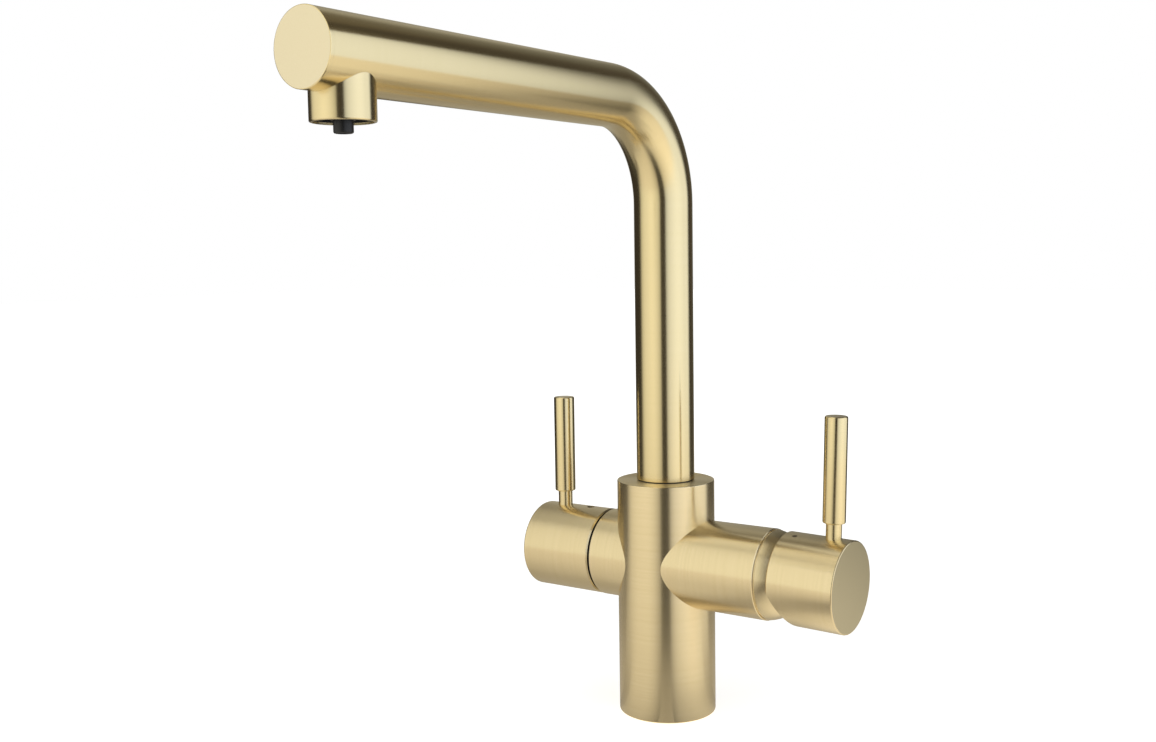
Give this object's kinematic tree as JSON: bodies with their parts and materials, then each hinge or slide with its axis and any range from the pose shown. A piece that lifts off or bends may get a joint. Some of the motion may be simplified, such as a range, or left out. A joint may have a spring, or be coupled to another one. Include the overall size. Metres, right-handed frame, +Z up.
{
  "type": "three way filtered water tap",
  "caption": "Deck-mounted kitchen tap with an L-shaped swivel spout, a tilting and turning mixer handle on one side and a quarter-turn filtered water handle on the other.",
  "frame": {"origin": "centre of the foot's underside, on the sink or worktop", "axes": "+Z up along the column, spout to -Y over the sink, mixer handle on the +X side, filtered water handle on the -X side"},
  "size_m": [0.1723, 0.2541, 0.3138],
  "materials": {
    "brushed_brass": "satin brushed, warm gold, clear coated",
    "polished_brass": "fine brushed, brighter than the body",
    "plain_brass": "machined, unplated",
    "steel": "plain stainless steel",
    "black_plastic": "fine textured black",
    "white_plastic": "smooth natural acetal",
    "grey_plastic": "moulded, smooth",
    "ceramic": "lapped alumina",
    "rubber": "matt black"
  },
  "bodies": {
    "root": {"tap_body": "brushed_brass", "mixer_arm": "brushed_brass", "filter_arm": "brushed_brass", "base_seal": "rubber", "spout_bush": "white_plastic", "spout_grub_screw": "steel", "filter_tube_seal": "rubber", "cartridge_housing": "grey_plastic", "cartridge_seals": "rubber", "cartridge_fixed_disc": "ceramic", "cartridge_nut": "plain_brass", "mixer_collar": "brushed_brass", "filter_valve_body": "plain_brass", "filter_valve_oring": "rubber", "filter_seat_seal": "rubber", "filter_fixed_disc": "ceramic", "filter_gap_ring": "black_plastic"},
    "mixer_turret": {"cartridge_turret": "grey_plastic", "lever_pivot_pin": "steel"},
    "mixer_disc": {"cartridge_moving_disc": "ceramic", "disc_carrier": "grey_plastic"},
    "mixer_handle": {"cartridge_stem": "steel", "mixer_cap": "brushed_brass", "mixer_lever": "polished_brass", "mixer_grub_screw": "steel", "mixer_index_dot": "black_plastic"},
    "filter_handle": {"filter_spindle": "plain_brass", "filter_turning_disc": "ceramic", "spindle_oring": "rubber", "spindle_clip": "steel", "filter_cap": "brushed_brass", "filter_lever": "polished_brass", "filter_grub_screw": "steel"},
    "spout": {"spout_tube": "polished_brass", "spout_end_cap": "brushed_brass", "spout_spigot": "plain_brass", "spigot_orings": "rubber", "filter_tube": "white_plastic", "filter_elbow": "grey_plastic", "nozzle_housing": "polished_brass", "aerator_cage": "black_plastic", "flow_straightener": "black_plastic", "aerator_screen": "steel", "aerator_washer": "rubber", "filter_nozzle": "black_plastic"}
  },
  "joints": [
    {"name": "spout_swivel", "type": "hinge", "parent": "root", "child": "spout", "pos_m": [0, 0, 0.12], "axis": [0, 0, 1], "continuous": true},
    {"name": "mixer_temperature", "type": "hinge", "parent": "root", "child": "mixer_turret", "pos_m": [0.056, 0, 0.076], "axis": [1, 0, 0], "range_deg": [-45, 45]},
    {"name": "mixer_flow", "type": "hinge", "parent": "mixer_turret", "child": "mixer_handle", "pos_m": [0.056, 0, 0.076], "axis": [0, 1, 0], "range_deg": [0, 24]},
    {"name": "mixer_disc_slide", "type": "slide", "parent": "mixer_turret", "child": "mixer_disc", "axis": [0, 0, 1], "range_m": [0, 0.0044]},
    {"name": "filter_turn", "type": "hinge", "parent": "root", "child": "filter_handle", "pos_m": [-0.053, 0, 0.076], "axis": [1, 0, 0], "range_deg": [0, 90]}
  ],
  "couplings": [
    {"joint": "mixer_disc_slide", "follows": "mixer_flow", "m_per_rad": 0.01015}
  ]
}
